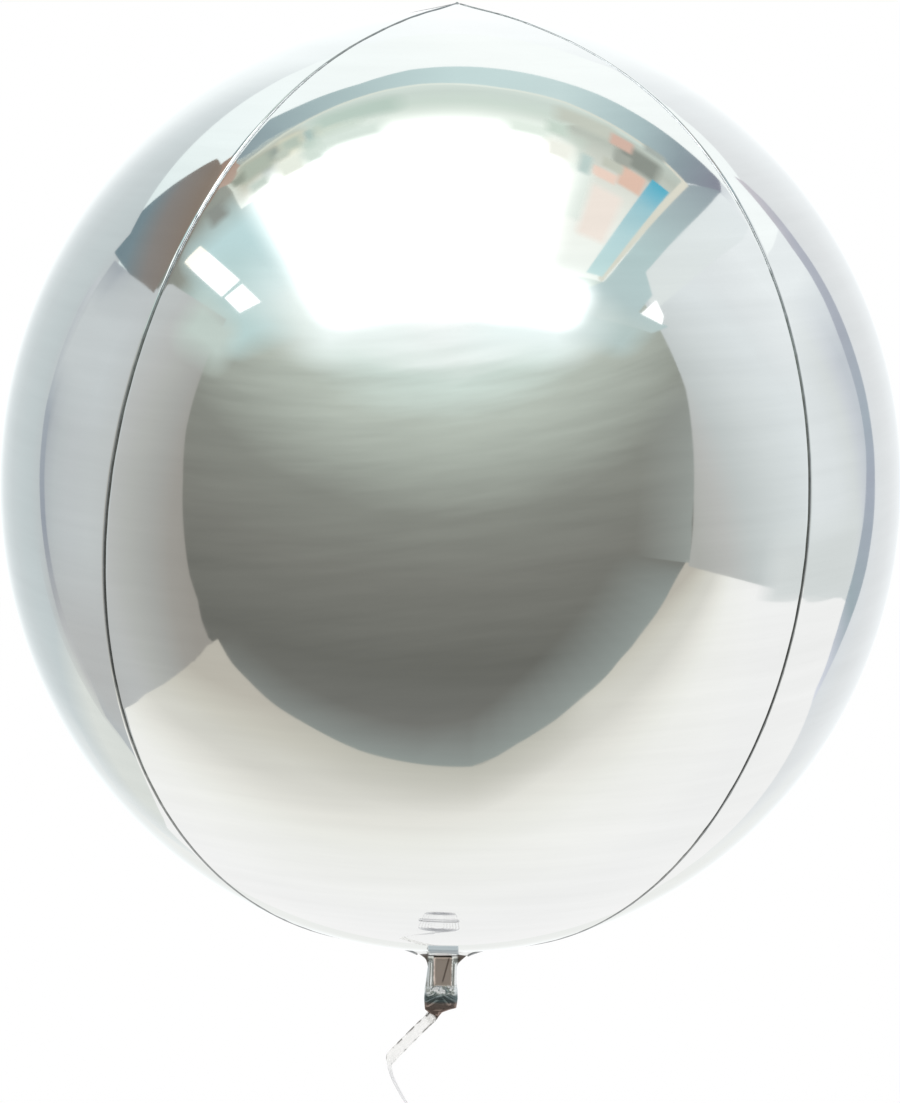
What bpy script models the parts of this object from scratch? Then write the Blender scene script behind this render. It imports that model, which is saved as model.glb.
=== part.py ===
# Round foil balloon: four film gores welded along their edges, a filling tail, and a curling ribbon
# Metres, +Z up, front gore towards -Y, origin at the middle of the inflated envelope

import math

import bmesh
import bpy
from mathutils import Vector

# Envelope, to the outer face of the film
EQUATOR_RADIUS = 0.190
POLE_HEIGHT = 0.198
SHELL = 0.0012
CREASE = 0.035  # 0 is a round level section, 1 a square one with its corners at the seams
POLE_CREASE_POWER = 100
TWIST = math.radians(5)  # how far the seams lean round the upright axis on their way to a pole
TIP_RISE = 0.005
TIP_REACH = 0.016
NECK_SAG = 0.015
NECK_REACH = 0.011

# Seams and the gaps beside them
GAP = 0.0003
SEAM_WIDTH = 0.0009
SEAM_PROUD = 0.0005
SEAM_INSET = SEAM_WIDTH / 2 + 0.00035
CORNER = math.radians(45)

# Where the gores stop short of the poles
TIP_END_RADIUS = 0.0040
NECK_END_RADIUS = 0.0118

# Filling tail
TAIL_X = -0.0008
HINGE_HEIGHT = -0.2086
HINGE_RADIUS = 0.0009
NECK_HALF_WIDTH = 0.0104
TAIL_HALF_WIDTH = 0.0065
TAIL_HALF_DEPTH = 0.0021
PANEL_HEAD = -0.2111
PANEL_FOOT = -0.2205
PANEL_HEAD_HALF_WIDTH = 0.0046
PANEL_FOOT_HALF_WIDTH = 0.0037
CRUMPLE_FOOT = -0.2280
END_THICKNESS = 0.0020

# Ribbon, its knot and its spare length
RIBBON_WIDTH = 0.005
KNOT = Vector((-0.0055, 0.0, -0.2349))
KNOT_RADIUS = 0.0024
HANK_TOP = -0.2900
HANK_X = -0.0046
HANK_LENGTH = 0.104
HANK_WIDTH = 0.030
HANK_DEPTH = 0.0054
BAND_LENGTH = 0.007
BAND_THICKNESS = 0.0008

# Names of the four gores, by the middle of each one round the upright axis from the front
GORES = {"front": 0, "right": 90, "back": 180, "left": 270}

for old in list(bpy.data.objects):
    bpy.data.objects.remove(old, do_unlink=True)

balloon = bpy.data.collections.new("round_foil_balloon")
bpy.context.scene.collection.children.link(balloon)


def finish(name, colour, roughness, metallic, alpha=1.0):
    """A plain material with the part's colour."""
    material = bpy.data.materials.new(name)
    material.use_nodes = True
    shader = material.node_tree.nodes["Principled BSDF"]
    shader.inputs["Base Color"].default_value = (*colour, 1.0)
    shader.inputs["Roughness"].default_value = roughness
    shader.inputs["Metallic"].default_value = metallic
    shader.inputs["Alpha"].default_value = alpha
    return material


film = finish("metallised_film", (0.86, 0.88, 0.89), 0.05, 1.0)
weld = finish("heat_weld", (0.30, 0.31, 0.32), 0.30, 1.0)
tail_film = finish("tail_film", (0.72, 0.72, 0.70), 0.10, 1.0)
clear_ribbon = finish("clear_ribbon", (0.93, 0.94, 0.94), 0.20, 0.0, 0.6)


def add_mesh(name, bm, material, smooth_below=40):
    """Turn a bmesh into a named object of the balloon."""
    bmesh.ops.recalc_face_normals(bm, faces=bm.faces)
    mesh = bpy.data.meshes.new(name)
    bm.to_mesh(mesh)
    bm.free()
    mesh.materials.append(material)
    mesh.shade_smooth()
    mesh.set_sharp_from_angle(angle=math.radians(smooth_below))
    piece = bpy.data.objects.new(name, mesh)
    balloon.objects.link(piece)
    return piece


def thicken(piece, thickness, offset):
    """Give an open surface its wall: offset -1 grows it inwards, 0 to both sides."""
    wall = piece.modifiers.new("wall", "SOLIDIFY")
    wall.thickness = thickness
    wall.offset = offset
    wall.use_even_offset = True


def pole_latitude(end_radius):
    """Latitude where the film is still end_radius from the upright axis."""
    return math.acos(end_radius / EQUATOR_RADIUS)


def row_latitude(share):
    """Latitude of a row, share running 0 to 1 from the neck to the tip, rows closer near the poles."""
    low, high = -pole_latitude(NECK_END_RADIUS), pole_latitude(TIP_END_RADIUS)
    even = 2 * share - 1
    eased = 0.6 * even + 0.4 * math.sin(math.pi / 2 * even)
    return (low + high) / 2 + eased * (high - low) / 2


def film_point(middle, away, latitude):
    """Point on the film: middle is the gore's azimuth, away the angle from that middle."""
    radius = EQUATOR_RADIUS * math.cos(latitude)
    height = POLE_HEIGHT * math.sin(latitude)
    if latitude > 0:
        height += TIP_RISE * math.exp(-radius / TIP_REACH)
    else:
        height -= NECK_SAG * math.exp(-radius / NECK_REACH)
    square = CREASE + (1 - CREASE) * abs(math.sin(latitude)) ** POLE_CREASE_POWER
    radius *= 1 + square * (1 / math.cos(away) - 1)
    azimuth = middle + away + TWIST * math.sin(latitude)
    return Vector((radius * math.sin(azimuth), -radius * math.cos(azimuth), height))


def seam_point(middle, latitude, lift):
    """Point of the seam at a gore's left edge, lifted off the film along its outward direction."""
    step = 0.002
    here = film_point(middle, -CORNER, latitude)
    along = film_point(middle, -CORNER, latitude + step) - film_point(middle, -CORNER, latitude - step)
    across = Vector((-here.y, here.x, 0.0))
    outward = across.cross(along).normalized()
    return here + outward * lift


def mapped_grid(columns, rows, place):
    """A grid of faces whose corners go to place(across, up), both running 0 to 1."""
    bm = bmesh.new()
    bmesh.ops.create_grid(bm, x_segments=columns, y_segments=rows, size=0.5)
    for vert in bm.verts:
        vert.co = place(vert.co.x + 0.5, vert.co.y + 0.5)
    return bm


def gore(side, degrees):
    """One quarter of the envelope, from the neck to the tip."""
    middle = math.radians(degrees)

    def place(across, up):
        latitude = row_latitude(up)
        corner_radius = film_point(middle, CORNER, latitude).xy.length
        reach = CORNER - math.asin(SEAM_INSET / corner_radius)
        return film_point(middle, (2 * across - 1) * reach, latitude)

    piece = add_mesh(f"gore_{side}", mapped_grid(12, 32, place), film)
    thicken(piece, SHELL, -1)


def seam(name, degrees):
    """The welded edge between two gores, at the left edge of the gore whose middle is given."""
    middle = math.radians(degrees)

    def place(across, up):
        return seam_point(middle, row_latitude(up), across * (SEAM_PROUD + SHELL) - SHELL)

    piece = add_mesh(f"seam_{name}", mapped_grid(1, 32, place), weld)
    thicken(piece, SEAM_WIDTH, 0)


def turned(name, outline, steps, material):
    """A solid turned round the upright axis from (radius, height) points, top to bottom."""
    bm = bmesh.new()
    corners = [bm.verts.new((radius, 0.0, height)) for radius, height in outline]
    for upper, lower in zip(corners, corners[1:]):
        bm.edges.new((upper, lower))
    mesh = bpy.data.meshes.new(name)
    bm.to_mesh(mesh)
    bm.free()
    mesh.materials.append(material)
    piece = bpy.data.objects.new(name, mesh)
    balloon.objects.link(piece)
    screw = piece.modifiers.new("turn", "SCREW")
    screw.steps = steps
    screw.render_steps = steps
    screw.use_merge_vertices = True
    screw.merge_threshold = 0.00001


def oval_ring(centre_x, half_width, half_depth, squareness, height, count=16):
    """Corners of a level ring: squareness 2 is an ellipse, more is boxier."""
    ring = []
    for step in range(count):
        angle = 2 * math.pi * step / count
        cosine, sine = math.cos(angle), math.sin(angle)
        x = half_width * math.copysign(abs(cosine) ** (2 / squareness), cosine)
        y = half_depth * math.copysign(abs(sine) ** (2 / squareness), sine)
        ring.append((centre_x + x, y, height))
    return ring


def panel_ring(centre_x, half_width, panel_half_width, half_depth, height):
    """Corners of a level ring with a flat panel at the front and back and folded edges."""
    edge = half_depth * 0.35
    quarter = [(half_width, edge), (panel_half_width, half_depth)]
    right = quarter + [(-x, y) for x, y in reversed(quarter)]
    return [(centre_x + x, y, height) for x, y in right + [(-x, -y) for x, y in right]]


def lofted(name, rings, material, smooth_below=40):
    """A solid through level rings that all have the same number of corners."""
    bm = bmesh.new()
    loops = []
    for ring in rings:
        corners = [bm.verts.new(corner) for corner in ring]
        loops.append(corners)
    for lower, upper in zip(loops, loops[1:]):
        for index in range(len(lower)):
            following = (index + 1) % len(lower)
            bm.faces.new((lower[index], lower[following], upper[following], upper[index]))
    bm.faces.new(loops[0])
    bm.faces.new(loops[-1])
    return add_mesh(name, bm, material, smooth_below)


def tip_weld():
    """The small point where the four seams meet on top."""
    rim = TIP_END_RADIUS - 0.0004
    rim_height = film_point(0, 0, pole_latitude(rim)).z
    apex = POLE_HEIGHT + TIP_RISE + 0.0004
    outline = [(0.0, apex), (0.0008, apex - 0.0003), (rim, rim_height)]
    outline += [(rim, rim_height - SHELL), (0.0, rim_height - SHELL)]
    turned("tip_weld", outline, 12, weld)


def neck_funnel():
    """Where the gores gather into the flat filling tail."""
    rim = NECK_END_RADIUS - 0.0004
    rim_height = film_point(0, 0, -pole_latitude(rim)).z
    foot = HINGE_HEIGHT + HINGE_RADIUS + GAP
    # columns: share of the drop, half width, half depth, squareness
    sections = [
        (0.00, rim, rim, 2.0),
        (0.25, 0.0112, 0.0094, 2.0),
        (0.55, 0.0109, 0.0062, 2.2),
        (0.80, 0.0106, 0.0038, 2.4),
        (1.00, NECK_HALF_WIDTH, 0.0024, 2.6),
    ]
    rings = [oval_ring(0.0, rim, rim, 2.0, rim_height + SHELL)]
    for drop, width, depth, square in sections:
        height = rim_height + drop * (foot - rim_height)
        rings.append(oval_ring(TAIL_X * drop, width, depth, square, height))
    lofted("neck_funnel", rings, tail_film, 50)


def tail_tube():
    """The puffed upper tail, with a flat panel each side and a round top edge that bends at the neck."""
    rings = []
    for degrees in (80, 55, 30, 0):
        angle = math.radians(degrees)
        height = HINGE_HEIGHT + HINGE_RADIUS * math.sin(angle)
        rings.append(panel_ring(TAIL_X, 0.0096, 0.0060, HINGE_RADIUS * math.cos(angle), height))
    # columns: half width, panel half width, half depth, height
    sections = [
        (0.0076, 0.0050, 0.0016, HINGE_HEIGHT - 0.0013),
        (TAIL_HALF_WIDTH, PANEL_HEAD_HALF_WIDTH, TAIL_HALF_DEPTH, PANEL_HEAD),
        (TAIL_HALF_WIDTH + 0.0003, PANEL_FOOT_HALF_WIDTH, TAIL_HALF_DEPTH, PANEL_FOOT),
    ]
    rings += [panel_ring(TAIL_X, *section) for section in sections]
    lofted("tail_tube", rings, tail_film, 20)


def tail_crumple():
    """The creased stretch below the flat panels."""
    top = PANEL_FOOT - GAP
    length = top - CRUMPLE_FOOT
    # columns: share of the length, half width, half depth, sideways shift
    sections = [
        (0.00, 0.0068, 0.0020, -0.0001),
        (0.18, 0.0070, 0.0027, -0.0002),
        (0.42, 0.0069, 0.0017, -0.0003),
        (0.66, 0.0071, 0.0025, -0.0003),
        (1.00, 0.0070, 0.0013, -0.0003),
    ]
    rings = [oval_ring(TAIL_X + shift, width, depth, 2.6, top - share * length)
             for share, width, depth, shift in sections]
    lofted("tail_crumple", rings, tail_film, 20)


def flat_piece(name, outline, thickness, material):
    """A flat outline of (x, height) points, upright in the X-Z plane, closed and given its thickness."""
    curve = bpy.data.curves.new(name, "CURVE")
    curve.dimensions = "2D"
    curve.fill_mode = "BOTH"
    curve.extrude = thickness / 2
    spline = curve.splines.new("POLY")
    spline.points.add(len(outline) - 1)
    for point, (x, height) in zip(spline.points, outline):
        point.co = (x, height, 0.0, 1.0)
    spline.use_cyclic_u = True
    curve.materials.append(material)
    piece = bpy.data.objects.new(name, curve)
    piece.rotation_euler = (math.pi / 2, 0.0, 0.0)
    balloon.objects.link(piece)
    return piece


def arc(centre_x, centre_height, radius, start, end, count):
    """Points of an arc in the X-Z plane, angles in degrees from +X towards +Z."""
    points = []
    for step in range(count):
        angle = math.radians(start + (end - start) * step / (count - 1))
        points.append((centre_x + radius * math.cos(angle), centre_height + radius * math.sin(angle)))
    return points


def tail_end():
    """The flat end of the tail, drawn in to a point beside the knot."""
    top = CRUMPLE_FOOT - GAP
    outline = [(-0.0077, top), (-0.0082, top - 0.0032)]
    outline += arc(KNOT.x, KNOT.z, KNOT_RADIUS + GAP, 128, 8, 7)
    outline += [(-0.0024, -0.2352), (-0.0018, -0.2336), (0.0004, -0.2320), (0.0046, -0.2308)]
    outline += [(0.0059, -0.2294), (0.0060, top)]
    flat_piece("tail_end", outline, END_THICKNESS, tail_film)


def ribbon_knot():
    """The ribbon's loop round the point of the tail."""
    bpy.ops.mesh.primitive_uv_sphere_add(segments=16, ring_count=10, radius=1.0)
    piece = bpy.context.active_object
    piece.name = "ribbon_knot"
    for vert in piece.data.vertices:
        vert.co = Vector((vert.co.x * KNOT_RADIUS, vert.co.z * 0.0021, vert.co.y * KNOT_RADIUS)) + KNOT
    piece.data.flip_normals()
    piece.data.materials.append(clear_ribbon)
    piece.data.shade_smooth()
    for collection in list(piece.users_collection):
        collection.objects.unlink(piece)
    balloon.objects.link(piece)


# The ribbon's route from the knot to its spare length, in the X-Z plane
RIBBON_ROUTE = [
    (-0.0074, -0.2369), (-0.0108, -0.2403), (-0.0143, -0.2440), (-0.0182, -0.2482), (-0.0213, -0.2514),
    (-0.0231, -0.2540), (-0.0236, -0.2570), (-0.0227, -0.2605), (-0.0213, -0.2639), (-0.0194, -0.2676),
    (-0.0168, -0.2722), (-0.0135, -0.2765), (-0.0097, -0.2802), (-0.0066, -0.2838), (-0.0050, -0.2872),
    (-0.0046, -0.2897),
]


def smooth_route(route, spacing):
    """Points at about the given spacing along a smooth curve through the route's own points."""
    points = [Vector((x, 0.0, height)) for x, height in route]
    fine = []
    for index in range(len(points) - 1):
        before = points[max(index - 1, 0)]
        start, end = points[index], points[index + 1]
        after = points[min(index + 2, len(points) - 1)]
        for step in range(20):
            t = step / 20
            bend = (2 * start - 2 * end + (end - before) / 2 + (after - start) / 2) * t ** 3
            bend += (3 * end - 3 * start - (end - before) - (after - start) / 2) * t ** 2
            fine.append(start + (end - before) / 2 * t + bend)
    fine.append(points[-1])
    kept = [fine[0]]
    for point in fine[1:-1]:
        if (point - kept[-1]).length >= spacing and (point - fine[-1]).length > spacing / 2:
            kept.append(point)
    return kept + [fine[-1]]


def ribbon_run():
    """The curling ribbon from its knot down to its spare length."""
    curve = bpy.data.curves.new("ribbon_run", "CURVE")
    curve.dimensions = "3D"
    curve.bevel_depth = RIBBON_WIDTH / 2
    curve.bevel_resolution = 2
    curve.use_fill_caps = True
    points = smooth_route(RIBBON_ROUTE, 0.004)
    spline = curve.splines.new("POLY")
    spline.points.add(len(points) - 1)
    for point, place in zip(spline.points, points):
        point.co = (*place, 1.0)
    curve.materials.append(clear_ribbon)
    piece = bpy.data.objects.new("ribbon_run", curve)
    balloon.objects.link(piece)


def ribbon_hank():
    """The spare length, wound flat into a long loop."""
    radius = HANK_WIDTH / 2
    upper = arc(HANK_X, HANK_TOP - radius, radius, 0, 180, 13)
    lower = arc(HANK_X, HANK_TOP - HANK_LENGTH + radius, radius, 180, 360, 13)
    flat_piece("ribbon_hank", upper + lower, HANK_DEPTH, clear_ribbon)


def hank_band():
    """A turn of ribbon that ties the hank round its waist."""
    bm = bmesh.new()
    bmesh.ops.create_cube(bm, size=1.0)
    level = [face for face in bm.faces if abs(face.normal.z) > 0.5]
    bmesh.ops.delete(bm, geom=level, context="FACES_ONLY")
    inner_width = HANK_WIDTH + 2 * GAP
    inner_depth = HANK_DEPTH + 2 * GAP
    middle = HANK_TOP - HANK_LENGTH / 2
    for vert in bm.verts:
        vert.co.x = HANK_X + vert.co.x * inner_width
        vert.co.y = vert.co.y * inner_depth
        vert.co.z = middle + vert.co.z * BAND_LENGTH
    piece = add_mesh("hank_band", bm, clear_ribbon)
    thicken(piece, BAND_THICKNESS, 1)


for side_name, middle_degrees in GORES.items():
    gore(side_name, middle_degrees)
for seam_name, middle_degrees in {"front_left": 0, "front_right": 90, "back_right": 180, "back_left": 270}.items():
    seam(seam_name, middle_degrees)
tip_weld()
neck_funnel()
tail_tube()
tail_crumple()
tail_end()
ribbon_knot()
ribbon_run()
ribbon_hank()
hank_band()
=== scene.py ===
# Round foil balloon: film, welds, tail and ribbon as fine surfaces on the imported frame, with light and camera
# Metres, +Z up, front gore towards -Y, origin at the middle of the inflated envelope

import math
from functools import partial

import bmesh
import bpy
from mathutils import Matrix, Vector


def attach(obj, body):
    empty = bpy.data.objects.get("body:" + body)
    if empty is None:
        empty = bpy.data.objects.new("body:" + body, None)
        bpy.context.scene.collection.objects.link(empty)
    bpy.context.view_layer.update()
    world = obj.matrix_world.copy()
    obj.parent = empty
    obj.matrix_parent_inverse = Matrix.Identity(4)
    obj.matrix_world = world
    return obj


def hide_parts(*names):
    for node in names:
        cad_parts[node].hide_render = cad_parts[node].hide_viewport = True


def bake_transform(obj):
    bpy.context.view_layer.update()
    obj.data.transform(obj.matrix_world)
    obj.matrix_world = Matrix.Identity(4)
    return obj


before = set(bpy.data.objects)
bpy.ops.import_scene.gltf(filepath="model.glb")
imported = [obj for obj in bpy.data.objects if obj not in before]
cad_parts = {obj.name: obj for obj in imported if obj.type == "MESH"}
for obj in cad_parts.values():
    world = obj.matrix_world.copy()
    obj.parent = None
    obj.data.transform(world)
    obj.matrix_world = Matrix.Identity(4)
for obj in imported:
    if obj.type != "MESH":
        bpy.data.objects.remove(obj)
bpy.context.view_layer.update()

MM = 0.001

# Envelope, to the outer face of the film
EQUATOR_RADIUS = 190 * MM
POLE_HEIGHT = 198 * MM
CREASE = 0.035  # 0 is a round level section, 1 a square one with its corners at the seams
POLE_CREASE_POWER = 100
TWIST = math.radians(5)  # how far the seams lean round the upright axis on their way to a pole
TIP_RISE = 5 * MM
TIP_REACH = 16 * MM
NECK_SAG = 15 * MM
NECK_REACH = 11 * MM
NECK_DROOP = 3.3 * MM  # the film's wider droop round the neck
NECK_DROOP_REACH = 22 * MM
NECK_RIDGE = 1.5  # how much sooner the draw-down fades to the front and back than to the sides
CORNER = math.radians(45)
TIP_END_RADIUS = 1.3 * MM
NECK_END_RADIUS = 11.8 * MM
FILM_WALL = 0.1 * MM  # drawn a little thicker than real film, so that both faces keep apart

# Filling tail, heights in millimetres
TAIL_TOP = -202.3
CRUMPLE_TOP = -220.5
END_TOP = -228.0
TAIL_POINT = -235.6
TAIL_LAP = 0.1  # each stretch reaches this far over the next

# The strip below the neck that stands for the valve's sleeve seen through the film, with painted reflection and
# shade in it: its upper end, and its lean aside for each unit forwards
SLEEVE_TOP = -179.0 * MM
SLEEVE_LEAN = 0.027

# Gathers in the film beside a seam
SEAM_INSET = 0.30 * MM
ROLL_WIDTH = 1.1 * MM
ROLL_DEPTH = 0.40 * MM
GATHER_PITCH = 16 * MM
GATHER_DEPTH = 0.05 * MM
GATHER_REACH = 6 * MM
GATHER_DRIFT = 11 * MM  # the gathers' spacing changes over such a length, and their depth over the next
GATHER_SWELL = 19 * MM
GATHER_START = 12 * MM  # nearer the upright axis than this they die away

# Heat-sealed edge between two gores
WELD_WIDTH = 1.15 * MM
WELD_PROUD = 0.45 * MM
WELD_NODE_PITCH = 21 * MM
WELD_NODE_DRIFT = 17 * MM

# Ribbon
RIBBON_WIDTH = 5 * MM
RIBBON_WALL = 0.12 * MM
RIBBON_RIBS = 11
RIBBON_HOLLOW = 0.35 * MM  # across its width at the knot, gone after the next length
RIBBON_HOLLOW_REACH = 60 * MM
KNOT = Vector((-5.5, 0.0, -234.9)) * MM
KNOT_RADIUS = 2.4 * MM
KNOT_HALF_DEPTH = 1.35 * MM
HANK_X = -4.6 * MM
HANK_TOP = -290 * MM
HANK_LENGTH = 104 * MM
HANK_WIDTH = 30 * MM
HANK_DEPTH = 5.4 * MM
LAP_PITCH = 2.1 * MM
LAPS = 6
TIE_TURNS = 2
TIE_GAP = 0.35 * MM
TIE_CLIMB = 2.4 * MM
# the broad face is to the front at first, then turns aside over two stretches: start, length, degrees, eased
RIBBON_TURNS = ((22 * MM, 6 * MM, 68, True), (46 * MM, 10 * MM, 22, False))

SHARP_ABOVE = 60  # degrees

GORES = {"front": 0, "right": 90, "back": 180, "left": 270}
SEAMS = {"front_left": 0, "front_right": 90, "back_right": 180, "back_left": 270}


def between(low, high, share):
    return low + (high - low) * share


# Meshes

def new_object(name, bm, material):
    """Turn a bmesh into a named object at the origin."""
    mesh = bpy.data.meshes.new(name)
    bm.to_mesh(mesh)
    bm.free()
    mesh.materials.append(material)
    made = bpy.data.objects.new(name, mesh)
    bpy.context.scene.collection.objects.link(made)
    return made


def add_piece(name, bm, material, thickness, offset=-1):
    """An open sheet made a smooth wall: offset -1 grows it inwards, 0 to both sides."""
    piece = new_object(name, bm, material)
    piece.data.shade_smooth()
    piece.data.set_sharp_from_angle(angle=math.radians(SHARP_ABOVE))
    modifier = piece.modifiers.new("wall", "SOLIDIFY")
    modifier.thickness = thickness
    modifier.offset = offset
    modifier.use_even_offset = False
    return piece


def mapped_grid(columns, rows, place, wrapped=False, outward=None):
    """A grid of faces whose corners go to place(across, up), both running 0 to 1. They are its UV map too."""
    bm = bmesh.new()
    bmesh.ops.create_grid(bm, x_segments=columns, y_segments=rows, size=0.5)
    layer = bm.loops.layers.uv.new("film")
    for face in bm.faces:
        for loop in face.loops:
            loop[layer].uv = (loop.vert.co.x + 0.5, loop.vert.co.y + 0.5)
    for vert in bm.verts:
        vert.co = place(vert.co.x + 0.5, vert.co.y + 0.5)
    if wrapped:
        bmesh.ops.remove_doubles(bm, verts=bm.verts, dist=0.001 * MM)
    bm.normal_update()
    if outward and sum(face.normal.dot(outward(face.calc_center_median())) for face in bm.faces) < 0:
        bmesh.ops.reverse_faces(bm, faces=bm.faces)
    return bm


# Materials

def colour(code):
    """A linear colour from an sRGB hex value."""
    def linear(pair):
        value = int(pair, 16) / 255
        return value / 12.92 if value <= 0.04045 else ((value + 0.055) / 1.055) ** 2.4
    return (linear(code[1:3]), linear(code[3:5]), linear(code[5:7]), 1.0)


def feed(tree, node, **inputs):
    """Set a node's inputs, by name or by place as _0, to values, sockets or nodes' main outputs."""
    for key, value in inputs.items():
        socket = node.inputs[int(key[1:])] if key[0] == "_" else node.inputs[key.replace("_", " ")]
        if isinstance(value, bpy.types.Node):
            value = next(output for output in value.outputs if output.enabled)
        if isinstance(value, bpy.types.NodeSocket):
            tree.links.new(value, socket)
        else:
            socket.default_value = value


def add_node(tree, kind, stops=(), **words):
    """Add a shader node. Words in lower case are its settings and the rest its inputs, as in feed."""
    node = tree.nodes.new("ShaderNode" + kind)
    for key in [word for word in words if word.islower()]:
        setattr(node, key, words.pop(key))
    if stops:  # a ramp's positions and colours
        elements = node.color_ramp.elements
        while len(elements) < len(stops):
            elements.new(0.5)
        for element, (position, code) in zip(elements, stops):
            element.position = position
            element.color = colour(code)
    feed(tree, node, **words)
    return node


def where_all(add, mask, *others):
    """A mask that is on where every given mask is on."""
    for other in others:
        mask = add("Math", operation="MULTIPLY", _0=mask, _1=other)
    return mask


def distance_from(add, value, middle):
    """How far a value is from its middle, on either side."""
    offset = add("Math", operation="SUBTRACT", _0=value, _1=middle)
    return add("Math", operation="ABSOLUTE", _0=offset)


def shader_of(name):
    """A new material, with functions that add a node to it and that feed its principled shader."""
    material = bpy.data.materials.new(name)
    material.use_nodes = True
    tree = material.node_tree
    return material, partial(add_node, tree), partial(feed, tree, tree.nodes["Principled BSDF"])


def vacuum_metallised_film():
    """Nylon film with a vapour coat of aluminium: a soft mirror with faint roll lines across the gore."""
    material, add, shade = shader_of("vacuum_metallised_film")
    place = add("TexCoord").outputs["Object"]
    # roll lines are about 4 mm apart and run level, a little down to the right
    lines = add("Mapping", Vector=place, Rotation=(0.0, math.radians(6), 0.0), Scale=(9.0, 9.0, 160.0))
    streak = add("TexNoise", Vector=lines, Scale=1.0, Detail=3.0, Roughness=0.55)
    # the coat varies in thickness over about 50 mm
    cloud = add("TexNoise", Vector=place, Scale=18.0, Detail=2.0, Roughness=0.5)
    both = add("Mix", Factor=0.35, _2=streak, _3=cloud)
    coat = add("ValToRGB", stops=[(0.30, "#EDEFEE"), (0.70, "#F4F6F5")], Fac=both)
    rough = add("MapRange", Value=both, _1=0.3, _2=0.7, _3=0.030, _4=0.055)
    # from the neck forwards a duller blue-grey strip, 13 mm wide, stands for the flat valve sleeve welded
    # inside; its bands of grey are painted reflection of the collar and painted shade under the tail
    x, y, z = add("SeparateXYZ", Vector=place).outputs
    low = add("MapRange", Value=z, _1=-180.3 * MM, _2=SLEEVE_TOP, _3=1.0, _4=0.0)
    ahead = add("MapRange", Value=y, _1=-1.0 * MM, _2=0.0, _3=1.0, _4=0.0)
    middle = add("Math", operation="MULTIPLY", _0=y, _1=SLEEVE_LEAN)
    aside = add("MapRange", Value=distance_from(add, x, middle), _1=6.0 * MM, _2=6.6 * MM, _3=1.0, _4=0.0)
    sleeve_and_reflection_mask = where_all(add, low, aside, ahead)
    height = add("MapRange", Value=z, _1=-192.4 * MM, _2=SLEEVE_TOP)
    # the sleeve's greys by height are painted reflection and painted shade, in lighter and darker bands
    sleeve_painted_reflection = add("ValToRGB", Fac=height, stops=[
        (0.0, "#A9B1B5"), (0.26, "#A5ADB1"), (0.42, "#8A959B"), (0.55, "#97A4A9"), (0.66, "#B2BFC3"),
        (0.76, "#A8B5BA"), (0.88, "#ACB9BE"), (1.0, "#C4D0D3")])
    shade(Base_Color=add("Mix", data_type="RGBA", _0=sleeve_and_reflection_mask, _6=coat, _7=sleeve_painted_reflection),
          Roughness=add("Math", operation="MULTIPLY_ADD", _0=sleeve_and_reflection_mask, _1=0.6, _2=rough),
          Metallic=add("MapRange", Value=sleeve_and_reflection_mask, _3=1.0, _4=0.15))
    return material


def heat_sealed_edge():
    """Two films pressed and melted together: a thin dull edge, grey where the coat has burnt away."""
    material, add, shade = shader_of("heat_sealed_film_edge")
    place = add("TexCoord").outputs["Object"]
    # the sealing jaw leaves marks about 1.2 mm apart
    marks = add("TexNoise", Vector=place, Scale=420.0, Detail=2.0)
    patches = add("TexNoise", Vector=place, Scale=45.0, Detail=2.0)
    both = add("Mix", Factor=0.5, _2=marks, _3=patches)
    shade(Roughness=0.13, Metallic=1.0,
          Base_Color=add("ValToRGB", stops=[(0.35, "#8C8F91"), (0.65, "#A9ACAE")], Fac=both),
          Normal=add("Bump", Strength=0.08, Distance=0.05 * MM, Height=marks))
    return material


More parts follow.
